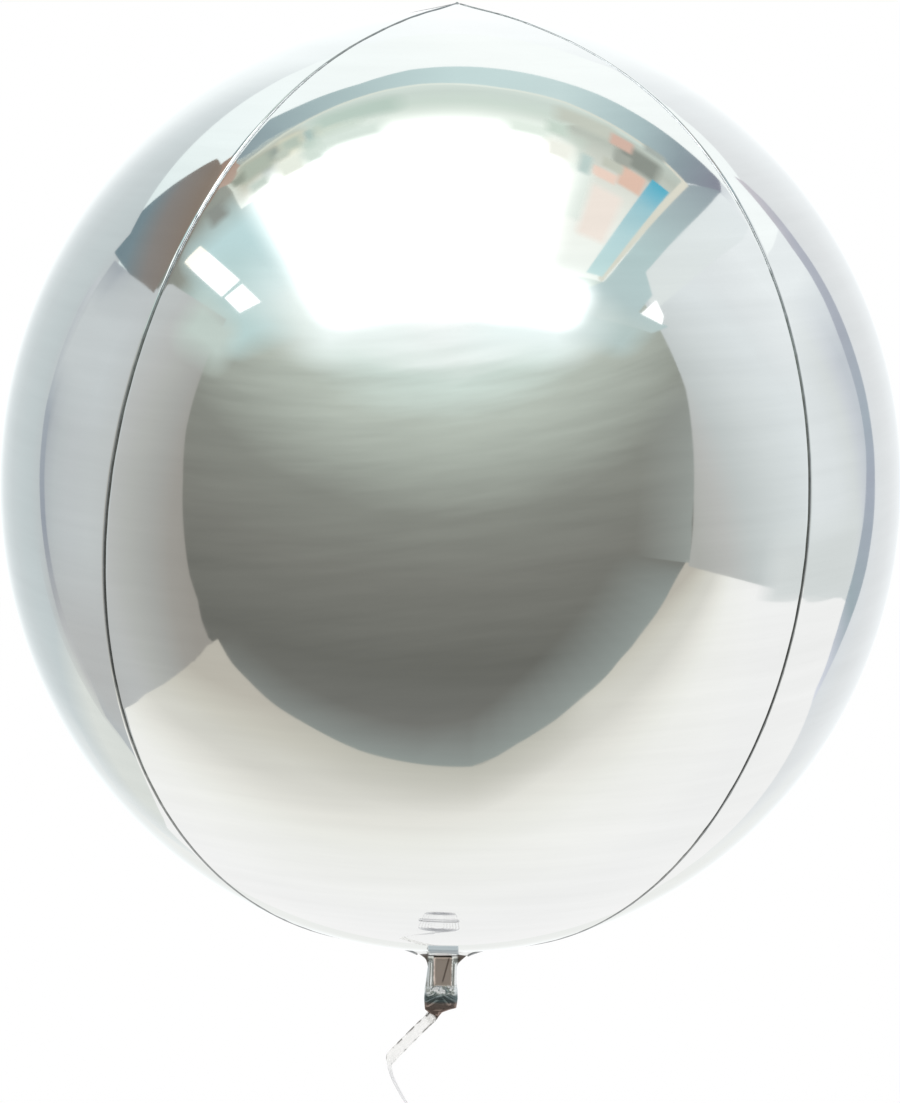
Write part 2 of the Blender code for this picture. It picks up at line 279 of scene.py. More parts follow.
def creased_tail_film():
    """The same film gathered in the hand, with its reflections and shade painted in: bright at its pleats,
    satin and warmer on its panel and its end.
    """
    material, add, shade = shader_of("creased_metallised_film")
    place = add("TexCoord").outputs["Object"]
    x, _, z = add("SeparateXYZ", Vector=place).outputs
    height = add("MapRange", Value=z, _1=TAIL_POINT * MM, _2=TAIL_TOP * MM)
    # painted reflection and shade, from the point up: brown end, cool crumple, warm panel, painted shadow in
    # the dark fold, painted highlight on the white roll, and blue-grey collar
    tint = add("ValToRGB", Fac=height, stops=[
        (0.0, "#4E4340"), (0.08, "#8F7D77"), (0.22, "#93857F"), (0.26, "#667274"), (0.33, "#6E7A7C"),
        (0.40, "#A9B3B4"), (0.455, "#DDE2E2"), (0.475, "#E6D6CD"), (0.853, "#E2D2C9"), (0.863, "#2A2423"),
        (0.892, "#332D2B"), (0.903, "#F7F9F9"), (1.0, "#F0F4F6")])
    aside = distance_from(add, x, -0.6 * MM)
    pleats = where_all(
        add, add("MapRange", Value=aside, _1=3.7 * MM, _2=4.2 * MM),
        add("MapRange", Value=z, _1=-224.5 * MM, _2=-222.0 * MM),
        add("MapRange", Value=z, _1=-206.7 * MM, _2=-206.1 * MM, _3=1.0, _4=0.0))
    # painted shade along a crease that runs down the panel from its upper right
    line = add("Math", operation="MULTIPLY_ADD", _0=z, _1=0.252, _2=54.4 * MM)
    painted_crease_shade = add("MapRange", Value=distance_from(add, x, line), _1=0.15 * MM, _2=0.55 * MM, _3=1.0, _4=0.0)
    panel = add("ValToRGB", Fac=height, stops=[
        (0.50, "#000000"), (0.54, "#FFFFFF"), (0.84, "#FFFFFF"), (0.86, "#000000")])
    # painted white glints where the crumpled film starts
    painted_glints = add("TexNoise", Vector=place, Scale=420.0, Detail=1.0)
    belt = add("ValToRGB", Fac=height, stops=[
        (0.36, "#000000"), (0.39, "#FFFFFF"), (0.46, "#FFFFFF"), (0.475, "#000000")])
    painted_glints = where_all(add, add("MapRange", Value=painted_glints, _1=0.47, _2=0.53), belt)
    # painted shade at the ends of the two side welds, below the collar
    corners = where_all(
        add, add("MapRange", Value=aside, _1=5.8 * MM, _2=6.8 * MM),
        add("MapRange", Value=z, _1=-204.8 * MM, _2=-204.3 * MM, _3=1.0, _4=0.0),
        add("MapRange", Value=z, _1=-212.0 * MM, _2=-210.0 * MM))
    # the crease and the weld ends get painted shade and the facets painted glints; the pleats keep the film's
    # own bright colour
    for mask, code in ((where_all(add, painted_crease_shade, panel), "#8F8078"), (pleats, "#E9EDED"), (painted_glints, "#F5F6F5"),
                       (corners, "#5B5450")):
        tint = add("Mix", data_type="RGBA", _0=mask, _6=tint, _7=colour(code))
    satin = add("ValToRGB", Fac=height, stops=[
        (0.0, "#505050"), (0.22, "#454545"), (0.27, "#202020"), (0.455, "#202020"), (0.475, "#6A6A6A"),
        (0.88, "#626262")])
    satin = where_all(add, satin, add("Math", operation="SUBTRACT", _0=1.0, _1=pleats))
    # the film is a little less than fully metallic, which lightens it; at the top of the collar and at the
    # glints it is mostly not metallic, so their white colour shows as painted highlight
    painted_highlight = add("MapRange", Value=z, _1=-205.9 * MM, _2=-205.6 * MM)
    painted_highlight = add("Math", operation="SUBTRACT", _0=painted_highlight, _1=corners)
    painted_highlight = add("Math", operation="MAXIMUM", _0=painted_highlight, _1=painted_glints)
    shade(Base_Color=tint, Roughness=add("MapRange", Value=satin, _1=0.0, _2=0.2, _3=0.06, _4=0.42),
          Metallic=add("MapRange", Value=painted_highlight, _3=0.9, _4=0.2))
    return material


def clear_curling_ribbon():
    """Clear extruded ribbon, faintly milky and ribbed lengthwise, with painted grey shade along its edges near
    the knot.
    """
    material, add, shade = shader_of("extruded_clear_polypropylene")
    across = add("SeparateXYZ", Vector=add("UVMap")).outputs["X"]
    place = add("TexCoord").outputs["Object"]
    ribs = add("Math", operation="MULTIPLY", _0=across, _1=2 * math.pi * RIBBON_RIBS)
    ribs = add("Math", operation="SINE", _0=ribs)
    # painted shade along the edges, in marks about 3 mm long, strongest at the two edges
    edge_shade_marks = add("TexNoise", Vector=place, Scale=330.0, Detail=2.0)
    side = add("Math", operation="MULTIPLY_ADD", _0=across, _1=2.0, _2=-1.0)
    side = add("Math", operation="ABSOLUTE", _0=side)
    # the painted edge shade only near the knot; the ribbon is clearer there and a little greyer further down
    height = add("SeparateXYZ", Vector=place).outputs["Z"]
    near_knot = add("MapRange", Value=height, _1=-262 * MM, _2=-254 * MM)
    painted_edge_shade = where_all(add, add("MapRange", Value=side, _1=0.66, _2=0.92),
                     add("MapRange", Value=edge_shade_marks, _1=0.47, _2=0.6), near_knot)
    tint = add("Mix", data_type="RGBA", _0=near_knot, _6=colour("#D2D2D6"), _7=colour("#FAF9F6"))
    body = add("MapRange", Value=ribs, _1=-1.0, _2=1.0, _3=0.26, _4=0.46)
    shade(Roughness=0.18, IOR=1.49,
          Base_Color=add("Mix", data_type="RGBA", _0=painted_edge_shade, _6=tint, _7=colour("#66625D")),
          Alpha=add("Math", operation="MULTIPLY_ADD", use_clamp=True, _0=painted_edge_shade, _1=0.65, _2=body),
          Normal=add("Bump", Strength=0.3, Distance=0.05 * MM, Height=ribs))
    return material


film = vacuum_metallised_film()
weld = heat_sealed_edge()
tail_film = creased_tail_film()
clear_ribbon = clear_curling_ribbon()


# Envelope

def pole_latitude(end_radius):
    """Latitude where the film is still end_radius from the upright axis."""
    return math.acos(end_radius / EQUATOR_RADIUS)


def row_latitude(share):
    """Latitude of a row, share running 0 to 1 from the neck to the tip, rows closer near the poles."""
    low, high = -pole_latitude(NECK_END_RADIUS), pole_latitude(TIP_END_RADIUS)
    even = 2 * share - 1
    eased = 0.6 * even + 0.4 * math.sin(math.pi / 2 * even)
    return (low + high) / 2 + eased * (high - low) / 2


def film_point(middle, away, latitude):
    """Point on the film: middle is the gore's azimuth, away the angle from that middle."""
    radius = EQUATOR_RADIUS * math.cos(latitude)
    height = POLE_HEIGHT * math.sin(latitude)
    if latitude > 0:
        height += TIP_RISE * math.exp(-radius / TIP_REACH)
    else:
        # the tail is flat, so the film draws down to it in a ridge from side to side
        turned = middle + away
        from_neck = radius * math.hypot(math.sin(turned), NECK_RIDGE * math.cos(turned))
        height -= NECK_SAG * math.exp(-from_neck / NECK_REACH)
        height -= NECK_DROOP * math.exp(-(from_neck / NECK_DROOP_REACH) ** 2)
    square = CREASE + (1 - CREASE) * abs(math.sin(latitude)) ** POLE_CREASE_POWER
    radius *= 1 + square * (1 / math.cos(away) - 1)
    azimuth = middle + away + TWIST * math.sin(latitude)
    return Vector((radius * math.sin(azimuth), -radius * math.cos(azimuth), height))


def film_normal(middle, away, latitude):
    """Outward direction of the film at a point."""
    step = 0.0005
    across = film_point(middle, away + step, latitude) - film_point(middle, away - step, latitude)
    along = film_point(middle, away, latitude + step) - film_point(middle, away, latitude - step)
    return across.cross(along).normalized()


def gather(from_seam, along, phase):
    """How far the film dips beside a seam: it rolls into the weld, with small gathers that soon fade."""
    wave = math.sin(2 * math.pi * along / GATHER_PITCH + 1.6 * math.sin(along / GATHER_DRIFT + phase))
    uneven = 0.6 + 0.4 * math.sin(along / GATHER_SWELL + 2 * phase)
    dip = GATHER_DEPTH * (1 + wave * uneven) * math.exp(-from_seam / GATHER_REACH)
    if from_seam < ROLL_WIDTH:
        dip += ROLL_DEPTH * (1 - from_seam / ROLL_WIDTH) ** 2
    return dip


def gore(side, degrees):
    """One quarter of the envelope, from the neck to the tip."""
    middle = math.radians(degrees)

    def place(across, up):
        latitude = row_latitude(up)
        corner_radius = film_point(middle, CORNER, latitude).xy.length
        reach = CORNER - math.asin(SEAM_INSET / corner_radius)
        away = math.sin(math.pi / 2 * (2 * across - 1)) * reach
        from_seam = (reach - abs(away)) * corner_radius
        fade = min(1.0, corner_radius / GATHER_START)
        dip = gather(from_seam, latitude * EQUATOR_RADIUS, middle + (away > 0)) * fade
        return film_point(middle, away, latitude) - film_normal(middle, away, latitude) * dip

    bm = mapped_grid(80, 260, place, outward=lambda centre: centre)
    piece = add_piece(f"film_gore_{side}", bm, film, FILM_WALL)
    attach(piece, "envelope")
    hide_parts(f"gore_{side}")


def seam(name, degrees):
    """The heat-sealed edge between two gores: a narrow bead, at the left of the gore with these degrees."""
    middle = math.radians(degrees)

    def place(across, up):
        latitude = row_latitude(up)
        here = film_point(middle, -CORNER, latitude)
        step = 0.002
        along = film_point(middle, -CORNER, latitude + step) - film_point(middle, -CORNER, latitude - step)
        outward = Vector((-here.y, here.x, 0.0)).cross(along).normalized()
        sideways = along.cross(outward).normalized()
        run = latitude * EQUATOR_RADIUS
        wave = 2 * math.pi * run / WELD_NODE_PITCH + 2.1 * math.sin(run / WELD_NODE_DRIFT + degrees)
        node = max(0.0, math.sin(wave)) ** 12
        half = WELD_WIDTH / 2 * (1 + 0.45 * node)
        angle = math.pi * (across - 0.5) * 1.25
        lift = WELD_PROUD * (math.cos(angle) - 0.55) * (1 + 0.3 * node)
        if name.startswith("back"):
            lift *= 1 - 0.8 * min(1.0, max(0.0, (latitude - 0.9) / 0.3))
        return here + sideways * (half * math.sin(angle)) + outward * lift

    bm = mapped_grid(8, 520, place, outward=lambda centre: centre)
    piece = add_piece(f"weld_{name}", bm, weld, FILM_WALL)
    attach(piece, "envelope")
    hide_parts(f"seam_{name}")


def tip_weld():
    """The small pinched point where the four seams meet on top."""
    rim = 2.1 * MM
    base = POLE_HEIGHT + TIP_RISE * math.exp(-rim / TIP_REACH) - 0.2 * MM
    apex = POLE_HEIGHT + TIP_RISE + 0.4 * MM

    def place(across, up):
        angle = 2 * math.pi * across
        share = up ** 0.8
        ridge = 1 + 0.22 * math.cos(4 * (angle - TWIST)) ** 3 * (1 - share)
        radius = rim * (1 - share) ** 0.9 * ridge
        height = between(base, apex, share ** 1.3)
        return Vector((radius * math.sin(angle), -radius * math.cos(angle), height))

    bm = mapped_grid(40, 14, place, wrapped=True, outward=lambda centre: centre)
    piece = add_piece("tip_weld_pinch", bm, weld, FILM_WALL)
    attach(piece, "envelope")
    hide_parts("tip_weld")


# Neck and filling tail

# columns in millimetres: height, left edge, right edge, half depth, squareness (2 is an oval, more is boxier)
TAIL_ROWS = [
    (TAIL_TOP, -11.1, 11.1, 11.1, 2.0),
    (-203.6, -11.4, 11.0, 8.2, 2.0),
    (-204.8, -11.9, 10.9, 5.6, 2.1),
    (-205.5, -11.7, 10.7, 4.1, 2.3),
    (-206.0, -11.0, 10.4, 3.1, 2.5),
    (-206.8, -9.9, 9.7, 2.4, 2.9),
    (-207.6, -8.8, 8.8, 2.1, 3.2),
    (-208.5, -8.0, 7.8, 2.0, 3.4),
    (-210.0, -7.4, 6.3, 2.0, 3.6),
    (-211.7, -7.1, 5.7, 2.0, 3.6),
    (-216.0, -7.6, 5.5, 1.9, 3.6),
    (-219.6, -8.0, 5.7, 1.4, 3.4),
    (-220.4, -8.1, 5.8, 1.5, 3.2),
    (-221.4, -8.3, 6.0, 2.3, 2.9),
    (-222.4, -8.4, 6.1, 2.9, 2.8),
    (-223.4, -8.4, 6.1, 3.0, 2.8),
    (-226.0, -8.5, 6.2, 2.5, 3.0),
    (-228.0, -8.4, 6.0, 2.1, 3.6),
    (-230.2, -8.2, 5.6, 1.6, 4.4),
    (-231.0, -8.1, 2.8, 1.45, 4.4),
    (-232.3, -6.6, -0.5, 1.15, 4.4),
    (-234.2, -4.3, -2.0, 0.75, 4.0),
    (TAIL_POINT, -3.4, -2.8, 0.4, 3.0),
]

# columns in millimetres: start x and height, end x and height, half width, rise (below 0 is a groove)
TAIL_FOLDS = [
    (-4.5, -206.6, -4.4, -220.2, 0.55, -0.60),
    (3.4, -206.8, 3.0, -220.2, 0.50, -0.60),
    (-6.0, -209.6, -6.3, -221.0, 1.10, 0.75),
    (4.6, -210.0, 4.5, -221.0, 0.90, 0.65),
    (2.1, -208.4, -0.6, -218.3, 0.60, -0.22),
    (-3.4, -221.0, -6.2, -223.6, 1.60, 0.75),
    (2.6, -220.8, 4.8, -223.0, 1.60, 0.75),
    (-0.9, -220.6, -1.4, -223.4, 1.30, -0.80),
    (-0.6, -222.6, 5.8, -226.6, 1.10, -0.70),
    (-1.2, -223.0, 2.4, -227.8, 1.00, 0.45),
    (-2.0, -223.4, -7.8, -226.6, 1.10, -0.60),
    (-3.4, -225.8, -7.0, -228.6, 1.20, 0.40),
    (-1.6, -226.0, -2.6, -233.0, 0.80, -0.55),
]


def tail_row(height):
    """Left edge, right edge, half depth and squareness of the tail at a height in millimetres."""
    for upper, lower in zip(TAIL_ROWS, TAIL_ROWS[1:]):
        if height >= lower[0]:
            share = max(0.0, (upper[0] - height) / (upper[0] - lower[0]))
            return [between(a, b, share) for a, b in zip(upper[1:], lower[1:])]
    return list(TAIL_ROWS[-1][1:])


def fold_rise(x, height, flip):
    """Height of the folds on the tail's broad face, in millimetres. The back's mirror the front's."""
    rise = 0.0
    for start_x, start_height, end_x, end_height, half_width, fold in TAIL_FOLDS:
        start, end = Vector((start_x * flip, start_height)), Vector((end_x * flip, end_height))
        run = end - start
        share = min(1.0, max(0.0, (Vector((x, height)) - start).dot(run) / run.length_squared))
        away = (Vector((x, height)) - start - run * share).length
        rise += fold * (0.5 + 0.5 * math.cos(math.pi * min(1.0, away / half_width)))
    return rise


def tail_piece(name, top, bottom, rows):
    """A stretch of the gathered film between two heights in millimetres."""
    def place(across, up):
        height = between(bottom, top, up)
        left, right, depth, square = tail_row(height)
        angle = 2 * math.pi * across
        cosine, sine = math.cos(angle), math.sin(angle)
        x = (left + right) / 2 + (right - left) / 2 * math.copysign(abs(cosine) ** (2 / square), cosine)
        y = depth * math.copysign(abs(sine) ** (2 / square), sine)
        front = sine < 0
        y += math.copysign(fold_rise(x, height, 1 if front else -1) * abs(sine) ** 0.5, sine)
        return Vector((x, y, height)) * MM

    bm = mapped_grid(120, rows, place, wrapped=True, outward=lambda centre: Vector((centre.x, centre.y, 0)))
    bmesh.ops.smooth_vert(bm, verts=[v for v in bm.verts if not v.is_boundary], factor=0.5,
                          use_axis_x=True, use_axis_y=True, use_axis_z=True)
    piece = add_piece(name, bm, tail_film, FILM_WALL)
    return piece


# Ribbon

# The ribbon's route from the knot to its spare length, in the X-Z plane, in millimetres
RIBBON_ROUTE = [
    (-5.9, -235.3), (-7.4, -236.9), (-10.8, -240.3), (-14.3, -244.0), (-18.2, -248.2), (-21.6, -251.8),
    (-23.3, -254.2), (-23.5, -256.6), (-22.7, -260.5), (-21.3, -263.9), (-19.4, -267.6),
    (-16.8, -272.2), (-13.5, -276.5), (-9.7, -280.2), (-6.6, -283.8), (-5.0, -287.2),
]


def hank_route():
    """The spare length: laps of a long loop, each inside the last, from the top of the hank."""
    outer = HANK_WIDTH / 2 - 0.4 * MM
    upper, lower = HANK_TOP - HANK_WIDTH / 2, HANK_TOP - HANK_LENGTH + HANK_WIDTH / 2
    points = []

    def bend(height, radius, turned, narrows):
        """An arc through the degrees turned, drawing in by narrows for each degree."""
        for degrees in turned:
            reach = radius - narrows * (turned[0] - degrees)
            angle = math.radians(degrees)
            points.append((HANK_X + reach * math.cos(angle), height + reach * math.sin(angle)))

    def straight(aside, shares):
        for share in shares:
            points.append((HANK_X + aside, between(upper, lower, share)))

    for lap in range(LAPS):
        radius = outer - lap * LAP_PITCH
        bend(upper, radius, range(60 if lap == 0 else 90, -1, -10), 0.0)
        straight(radius, (0.2, 0.4, 0.6, 0.8))
        bend(lower, radius, range(0, -181, -12), LAP_PITCH / 360)
        radius -= LAP_PITCH / 2
        straight(-radius, (0.8, 0.6, 0.4, 0.2))
        if lap < LAPS - 1:
            bend(upper, radius, range(180, 90, -12), LAP_PITCH / 180)
    return points


def smooth_route(points, steps):
    """Points of a smooth curve through the given points, steps of them on each stretch."""
    fine = []
    for index in range(len(points) - 1):
        before = points[max(index - 1, 0)]
        start, end = points[index], points[index + 1]
        after = points[min(index + 2, len(points) - 1)]
        for step in range(steps):
            t = step / steps
            bend = (2 * start - 2 * end + (end - before) / 2 + (after - start) / 2) * t ** 3
            bend += (3 * end - 3 * start - (end - before) - (after - start) / 2) * t ** 2
            fine.append(start + (end - before) / 2 * t + bend)
    fine.append(points[-1])
    return fine


def ribbon():
    """The curling ribbon from its knot to its spare length, one continuous strip."""
    route = [Vector((x, 0.0, z)) * MM for x, z in RIBBON_ROUTE]
    route += [Vector((x, 0.0, z)) for x, z in hank_route()]
    line = smooth_route(route, 4)
    count = len(line) - 1
    reached = [0.0]
    for start, end in zip(line, line[1:]):
        reached.append(reached[-1] + (end - start).length)

    def place(across, up):
        index = round(up * count)
        before, after = line[max(index - 1, 0)], line[min(index + 1, count)]
        along = (after - before).normalized()
        flat = Vector((along.z, 0.0, -along.x))
        angle = 0.0
        for start, length, degrees, eased in RIBBON_TURNS:
            turn = min(1.0, max(0.0, (reached[index] - start) / length))
            angle += math.radians(degrees) * (turn * turn * (3 - 2 * turn) if eased else turn)
        wide = flat * math.cos(angle) + Vector((0.0, 1.0, 0.0)) * math.sin(angle)
        proud = wide.cross(along)
        side = 2 * across - 1
        curl = RIBBON_HOLLOW * side * side * max(0.0, 1 - reached[index] / RIBBON_HOLLOW_REACH)
        return line[index] + wide * (side * RIBBON_WIDTH / 2) - proud * curl

    piece = add_piece("curling_ribbon", mapped_grid(10, count, place), clear_ribbon, RIBBON_WALL, 0)
    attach(piece, "ribbon")
    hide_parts("ribbon_run", "ribbon_hank")
    return piece, line


def ribbon_loop():
    """The knot: the ribbon's end folded over the point of the tail, with a round top."""
    direction = Vector((0.72, 0.0, 0.69)).normalized()
    sideways = Vector((direction.z, 0.0, -direction.x))

    def place(across, up):
        side = 2 * across - 1
        top = KNOT_RADIUS * math.sqrt(max(0.0, 1 - (0.97 * side) ** 2))
        angle = math.pi * (up - 0.5) * 1.5
        reach = top * (math.cos(angle) ** 0.8 if math.cos(angle) > 0 else math.cos(angle) * 1.1)
        depth = KNOT_HALF_DEPTH * math.sin(angle)
        return KNOT + direction * reach + sideways * (side * KNOT_RADIUS) + Vector((0.0, depth, 0.0))

    bm = mapped_grid(20, 36, place, outward=lambda centre: centre - KNOT)
    piece = add_piece("ribbon_loop", bm, clear_ribbon, RIBBON_WALL * 2, 0)
    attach(piece, "tail")
    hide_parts("ribbon_knot")


def hank_tie():
    """Two turns of ribbon round the waist of the hank."""
    middle = HANK_TOP - HANK_LENGTH / 2

    def place(across, up):
        angle = 2 * math.pi * TIE_TURNS * up
        cosine, sine = math.cos(angle), math.sin(angle)
        gap = TIE_GAP * (1 + up * TIE_TURNS)
        x = (HANK_WIDTH / 2 + gap) * math.copysign(abs(cosine) ** 0.3, cosine)
        y = (HANK_DEPTH / 2 + gap) * math.copysign(abs(sine) ** 0.3, sine)
        rise = (across - 0.5) * RIBBON_WIDTH + (up - 0.5) * TIE_CLIMB
        return Vector((HANK_X + x, y, middle + rise))

    piece = add_piece("hank_tie", mapped_grid(6, 160, place), clear_ribbon, RIBBON_WALL, 0)
    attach(piece, "ribbon")
    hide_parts("hank_band")
    return piece


for gore_side, gore_middle in GORES.items():
    gore(gore_side, gore_middle)
for seam_name, seam_middle in SEAMS.items():
    seam(seam_name, seam_middle)
tip_weld()

neck = tail_piece("neck_and_tail_film", TAIL_TOP, CRUMPLE_TOP - TAIL_LAP, 110)
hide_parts("neck_funnel", "tail_tube")
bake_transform(neck)
crumple = tail_piece("tail_crumple_film", CRUMPLE_TOP, END_TOP - TAIL_LAP, 60)
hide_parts("tail_crumple")
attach(crumple, "tail")
end_film = tail_piece("tail_end_film", END_TOP, TAIL_POINT, 50)
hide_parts("tail_end")
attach(end_film, "tail")

strip, strip_line = ribbon()
ribbon_loop()
tie = hank_tie()
[tuple(point) for point in strip_line]


# Light tent, seen only in the film: pale sheets round the balloon, open towards the camera's side
# Sheets that overlap lie a few millimetres apart, the one in front nearer the balloon

FLOOR_SHEET = -1.7
ROOF = 3.0
LEFT_WALL = -2.6
RIGHT_WALL = 5.0
BACK_WALL = 2.0
FILM_MATCH = 1.14  # a sheet of this strength shows in the film at about its own colour
STRIP_LAMP = 1.5
SOFTBOX = 4.0
LEVEL, BESIDE, BEHIND = (0, 1), (1, 2), (0, 2)  # the two axes that a flat sheet runs along
BEAM_LIP = 0.05
PATCH_STEP = 0.0002  # from one small patch down to the next


def level(height, points):
    """Corners of a level sheet, from their x and y."""
    return [Vector((x, y, height)) for x, y in points]


def beside(x, points):
    """Corners of an upright sheet at a side, from their y and z."""
    return [Vector((x, y, z)) for y, z in points]


def behind(y, points):
    """Corners of an upright sheet at the back, from their x and z."""
    return [Vector((x, y, z)) for x, z in points]


def glow_mesh(name, bm, build_shade, strength, soft=None):
    """A glowing sheet, unseen by the camera. build_shade gives its colour and soft its opacity."""
    material = bpy.data.materials.new(name)
    material.use_nodes = True
    material.node_tree.nodes.clear()
    add = partial(add_node, material.node_tree)
    place = add("TexCoord").outputs["Object"]
    glow = add("Emission", Color=build_shade(add, place), Strength=strength)
    if soft:
        glow = add("MixShader", _0=soft(add, place), _1=add("BsdfTransparent"), _2=glow)
    add("OutputMaterial", Surface=glow)
    sheet = new_object(name, bm, material)
    sheet.visible_camera = False
    sheet.visible_diffuse = False
    sheet.visible_shadow = False


def glow_piece(name, corners, build_shade, strength, soft=None):
    """A flat glowing sheet inside its corners."""
    bm = bmesh.new()
    outline = [bm.verts.new(corner) for corner in corners]
    edges = [bm.edges.new(pair) for pair in zip(outline, outline[1:] + outline[:1])]
    bmesh.ops.contextual_create(bm, geom=edges)
    glow_mesh(name, bm, build_shade, strength, soft)


def light_sheet(name, corners, stops, along=(0, 1, 0), start=0.0, end=1.0, strength=FILM_MATCH):
    """A sheet shaded by its stops from start to end along a direction."""
    def shade(add, place):
        run = add("VectorMath", operation="DOT_PRODUCT", _0=place, _1=Vector(along).normalized())
        return add("ValToRGB", stops=stops, Fac=add("MapRange", Value=run, _1=start, _2=end))

    glow_piece(name, corners, shade, strength)


def soft_lamp(name, middle, half_size, margin, code, strength=FILM_MATCH, axes=LEVEL, power=1.0):
    """A lit rectangle in a level or upright plane, fading to nothing over its margin."""
    middle, size = Vector(middle), Vector((0.0, 0.0, 0.0))
    size[axes[0]], size[axes[1]] = half_size
    corners = []
    for first, second in ((-1, -1), (1, -1), (1, 1), (-1, 1)):
        corner = middle.copy()
        corner[axes[0]] += first * (half_size[0] + margin)
        corner[axes[1]] += second * (half_size[1] + margin)
        corners.append(corner)

    def soft(add, place):
        offset = add("VectorMath", operation="SUBTRACT", _0=place, _1=middle)
        offset = add("VectorMath", operation="ABSOLUTE", _0=offset)
        beyond = add("VectorMath", operation="SUBTRACT", _0=offset, _1=size)
        beyond = add("VectorMath", operation="MAXIMUM", _0=beyond, _1=(0.0, 0.0, 0.0))
        away = add("VectorMath", operation="LENGTH", _0=beyond)
        share = add("MapRange", Value=away, _1=0.0, _2=margin, _3=1.0, _4=0.0)
        return add("Math", operation="POWER", _0=share, _1=power)

    glow_piece(name, corners, lambda add, place: colour(code), strength, soft)


def soft_patches(name, height, patches):
    """Small soft sheets under the roof. Each patch is x, y, half width, half depth, margin and colour."""
    for number, (x, y, wide, deep, margin, code) in enumerate(patches):
        soft_lamp(f"{name}_{number}", (x, y, height - PATCH_STEP * number), (wide, deep), margin, code)


def edge_glow(name, edge, reach, weights, code, power=1.2):
    """A strip along an edge, fading over its reach; each point of the edge has its own weight."""
    bm = bmesh.new()
    marks = bm.loops.layers.uv.new("fade")
    rows = [(bm.verts.new(point), bm.verts.new(point + away)) for point, away in zip(edge, reach)]
    for first, second, low, high in zip(rows, rows[1:], weights, weights[1:]):
        for loop, mark in zip(bm.faces.new((first[0], second[0], second[1], first[1])).loops,
                              ((low, 0.0), (high, 0.0), (high, 1.0), (low, 1.0))):
            loop[marks].uv = mark

    def soft(add, place):
        weight, reached, _ = add("SeparateXYZ", Vector=add("UVMap")).outputs
        left = add("Math", operation="SUBTRACT", _0=1.0, _1=reached)
        left = add("Math", operation="POWER", _0=left, _1=power)
        return add("Math", operation="MULTIPLY", _0=left, _1=weight)

    glow_mesh(name, bm, lambda add, place: colour(code), FILM_MATCH, soft)


FLOOR_EDGE = level(FLOOR_SHEET, (
    (-2.85, -1.62), (-2.62, -1.53), (-2.3, -1.41), (-1.95, -1.33), (-1.52, -1.23), (-1.07, -1.18),
    (-0.63, -1.11), (-0.23, -1.09), (0.14, -1.08), (0.32, -1.17), (0.48, -1.28), (0.68, -1.39), (0.87, -1.49),
    (1.05, -1.6), (1.25, -1.71), (1.49, -1.83), (1.72, -1.96), (1.96, -2.11), (2.29, -2.28), (2.62, -2.47),
    (3.04, -2.69), (3.52, -2.94), (4.12, -3.27), (4.84, -3.68), (5.87, -4.24), (7.77, -5.2)))
FLOOR_FRONT = smooth_route(FLOOR_EDGE, 5)
FLOOR_BACK = level(FLOOR_SHEET, (
    (7.9, 1.3), (5.28, 1.34), (5.05, 2.31), (4.9, 2.84), (4.4, 3.4), (0.0, 3.4), (-0.9, 2.6), (-1.25, 1.75),
    (-1.6, 1.3), (-1.9, 1.0), (-2.2, 0.6), (-2.35, 0.09), (-2.42, -0.32), (-2.54, -0.76), (-2.67, -1.12),
    (-2.8, -1.37)))

# Floor, and the grey glow past its edge
light_sheet("tent_floor", FLOOR_FRONT + FLOOR_BACK, [
    (0.0, "#B8B3A9"), (0.163, "#C8C5BB"), (0.265, "#CFCDC5"), (0.355, "#D3D1CA"), (0.469, "#E2E0DA"),
    (0.551, "#E9E8E3"), (0.633, "#EDECE9"), (0.837, "#EFEEED"), (1.0, "#EEEDED")],
    along=(0.34, 0.94, 0), start=-1.65, end=0.8)
edge_glow("opening_edge", [point - Vector((0, 0, 0.01)) for point in FLOOR_EDGE],
          [Vector((0, -max(0.5, 0.55 + 0.5 * point.x), 0)) for point in FLOOR_EDGE],
          [0.0, 0.15, 0.25, 0.4, 0.5, 0.7, 0.9] + [0.95] * 16 + [0.8, 0.6, 0.0], "#919895")
edge_glow("wall_edge", beside(RIGHT_WALL, (
    (-3.3, -1.15), (-3.3, -0.7), (-3.3, -0.26), (-3.17, 0.55), (-3.02, 1.34), (-2.86, 2.17), (-2.8, 2.8))),
          [Vector((0, -2.2, 0))] * 7, [0.9, 0.9, 0.9, 0.85, 0.8, 0.5, 0.0], "#989D99")
# Side walls
light_sheet("tent_left_wall", beside(LEFT_WALL, (
    (-1.1, 1.95), (-1.15, 1.04), (-1.17, 0.62), (-1.24, 0.15), (-1.27, -0.32), (-1.29, -0.77), (-1.34, -1.04),
    (-1.32, -1.27), (-1.34, -1.5), (-1.4, -1.57), (-1.28, -1.58), (-1.09, -1.65), (-0.95, -1.71),
    (-0.9, -2.6), (1.9, -2.6), (1.88, -1.97), (1.62, -1.61), (1.58, -1.13), (1.57, -0.72), (1.59, -0.35),
    (1.65, 0.01), (1.7, 0.3), (1.8, 0.8), (1.82, 1.35), (0.7, 1.45), (0.0, 1.8))), [
    (0.0, "#97938D"), (0.084, "#9C9994"), (0.168, "#A5A5A2"), (0.251, "#AFB0AD"), (0.335, "#B7B8B7"),
    (0.419, "#BBBEBE"), (0.56, "#BEC2C3"), (0.69, "#BCC0C2"), (0.78, "#B8BDBF"), (0.86, "#B0B5B9"),
    (0.91, "#A2A8AE")], along=(0, 0.99, 0.17), start=-1.4, end=2.0)
light_sheet("tent_left_valance", beside(LEFT_WALL + 0.01, (
    (2.3, 1.37), (2.3, 3.2), (1.0, 3.3), (0.7, 2.3), (0.58, 1.46), (1.22, 1.39))), [
    (0.0, "#9A8C82"), (0.35, "#85796F"), (0.6, "#837F7C"), (0.8, "#75868D"), (1.0, "#6C8089")],
    along=(0, 0.6, -0.8), start=-1.9, end=0.2)
